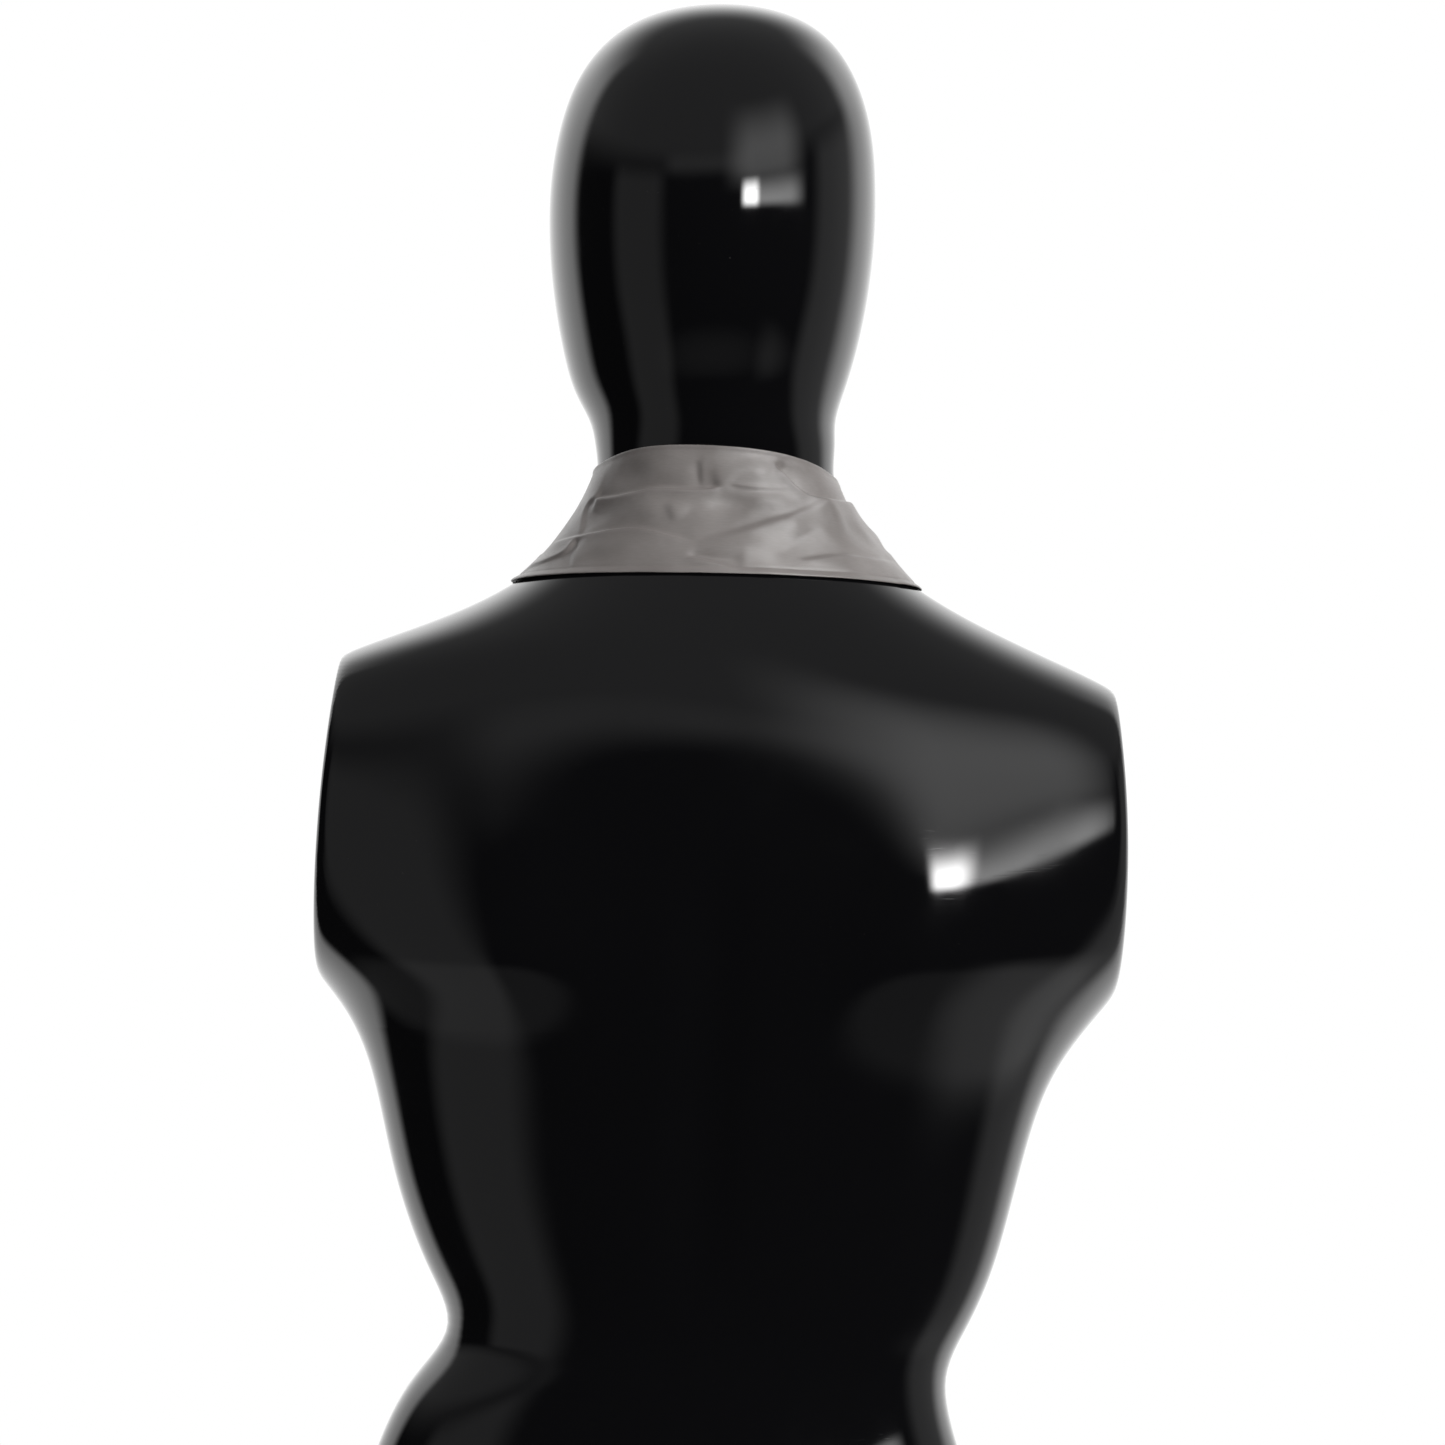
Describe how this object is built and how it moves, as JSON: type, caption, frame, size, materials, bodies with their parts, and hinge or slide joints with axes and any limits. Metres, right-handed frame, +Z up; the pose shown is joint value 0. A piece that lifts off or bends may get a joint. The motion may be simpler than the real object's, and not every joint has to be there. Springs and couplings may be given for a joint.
{
  "type": "silk neck scarf on a limbless display form",
  "caption": "Folded silk scarf wound round the neck of a headed, armless display form, knotted at the throat with two tails on the chest.",
  "frame": {"origin": "middle of the form's flat base", "axes": "+Z up through the head; the back of the neck faces -Y and the throat, with the knot and tails, faces +Y; +X is the wearer's right"},
  "size_m": [0.4108, 0.2397, 0.8437],
  "materials": {
    "black_lacquer": "glossy black lacquer on moulded fibreglass",
    "silk": "satin silk, warm grey"
  },
  "bodies": {
    "root": {"form": "black_lacquer", "neck_band": "silk", "knot": "silk", "tail_under": "silk", "tail_over": "silk"}
  },
  "joints": []
}
